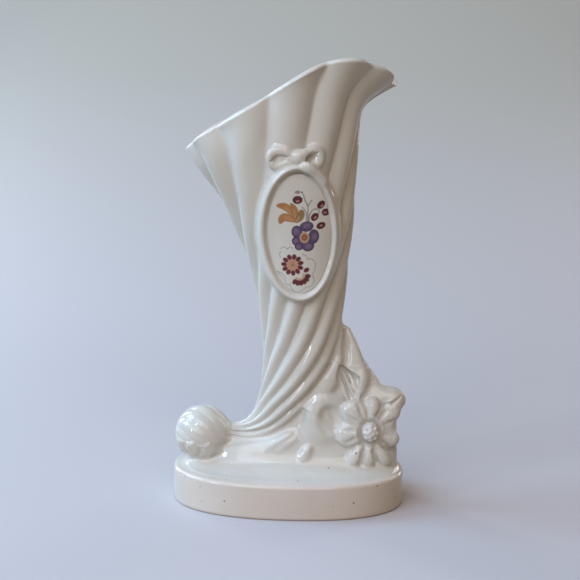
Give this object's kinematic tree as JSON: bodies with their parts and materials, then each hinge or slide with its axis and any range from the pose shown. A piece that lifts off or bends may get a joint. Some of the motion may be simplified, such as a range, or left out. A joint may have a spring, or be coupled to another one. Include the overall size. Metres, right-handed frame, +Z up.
{
  "type": "cornucopia vase",
  "caption": "White glazed pottery vase: a gadrooned horn of plenty with an open tilted mouth on an oval plinth, with a flower bouquet and an oval medallion with a bow.",
  "frame": {"origin": "middle of the plinth's foot, on the surface that the vase stands on", "axes": "+X to the viewer's right with the medallion in front, +Y away from the viewer, +Z up"},
  "size_m": [0.11, 0.07, 0.2107],
  "materials": {
    "glaze": "glossy warm white glaze over white earthenware",
    "plinth_glaze": "thinner pinkish cream glaze",
    "panel_glaze": "very smooth white glaze with a printed flower spray"
  },
  "bodies": {
    "root": {"horn": "glaze", "horn_tail": "glaze", "plinth": "plinth_glaze", "mound": "glaze", "medallion_frame": "glaze", "medallion_panel": "panel_glaze", "bow_knot": "glaze", "bow_loop_left": "glaze", "bow_loop_right": "glaze", "ribbon_left": "glaze", "ribbon_right": "glaze", "flower_centre": "glaze", "flower_petal_1": "glaze", "flower_petal_2": "glaze", "flower_petal_3": "glaze", "flower_petal_4": "glaze", "flower_petal_5": "glaze", "flower_petal_6": "glaze", "flower_petal_7": "glaze", "flower_petal_8": "glaze", "bud_right": "glaze", "side_blossom": "glaze", "leaf_fold": "glaze", "leaf_upper": "glaze", "leaf_right": "glaze", "tall_leaf_1": "glaze", "tall_leaf_2": "glaze", "ground_leaf_1": "glaze", "ground_leaf_2": "glaze", "tail_leaf_1": "glaze", "tail_leaf_2": "glaze", "tail_leaf_3": "glaze"}
  },
  "joints": []
}
